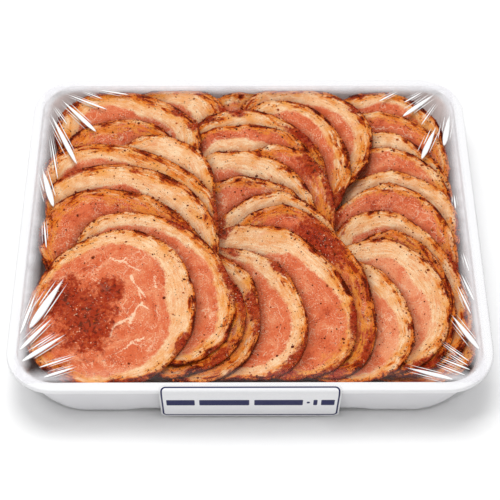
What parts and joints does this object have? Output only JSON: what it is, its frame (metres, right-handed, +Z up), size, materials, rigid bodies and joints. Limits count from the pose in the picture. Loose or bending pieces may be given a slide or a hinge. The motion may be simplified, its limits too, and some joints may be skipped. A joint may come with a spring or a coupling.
{
  "type": "pack of sliced smoked pork loin",
  "caption": "Rectangular white foam tray of overlapping oval smoked pork loin slices in three shingled columns, wrapped in clear stretch film with a small plain sticker on the front rim.",
  "frame": {"origin": "on the surface the pack stands on, under the middle of the pack", "axes": "+Z up, +X to the right along the tray's longer side, +Y towards the back; the sticker is at the front, at -Y"},
  "size_m": [0.2914, 0.2619, 0.0465],
  "materials": {
    "foam": "white expanded foam with a smooth skin",
    "meat": "moist sliced smoked loin with cream fat and a browned peppered crust",
    "film": "thin clear stretch film, drawn tight, with folds at the corners",
    "sticker": "pale coated paper with a plain dark blue border and bars"
  },
  "bodies": {
    "root": {"tray": "foam", "slice_left_01": "meat", "slice_left_02": "meat", "slice_left_03": "meat", "slice_left_04": "meat", "slice_left_05": "meat", "slice_left_06": "meat", "slice_left_07": "meat", "slice_left_08": "meat", "slice_left_09": "meat", "slice_left_10": "meat", "slice_left_11": "meat", "slice_middle_01": "meat", "slice_middle_02": "meat", "slice_middle_03": "meat", "slice_middle_04": "meat", "slice_middle_05": "meat", "slice_middle_06": "meat", "slice_middle_07": "meat", "slice_middle_08": "meat", "slice_middle_09": "meat", "slice_middle_10": "meat", "slice_middle_11": "meat", "slice_middle_12": "meat", "slice_right_01": "meat", "slice_right_02": "meat", "slice_right_03": "meat", "slice_right_04": "meat", "slice_right_05": "meat", "slice_right_06": "meat", "slice_right_07": "meat", "slice_right_08": "meat", "slice_right_09": "meat", "slice_right_10": "meat", "slice_right_11": "meat", "film": "film", "label": "sticker"}
  },
  "joints": []
}
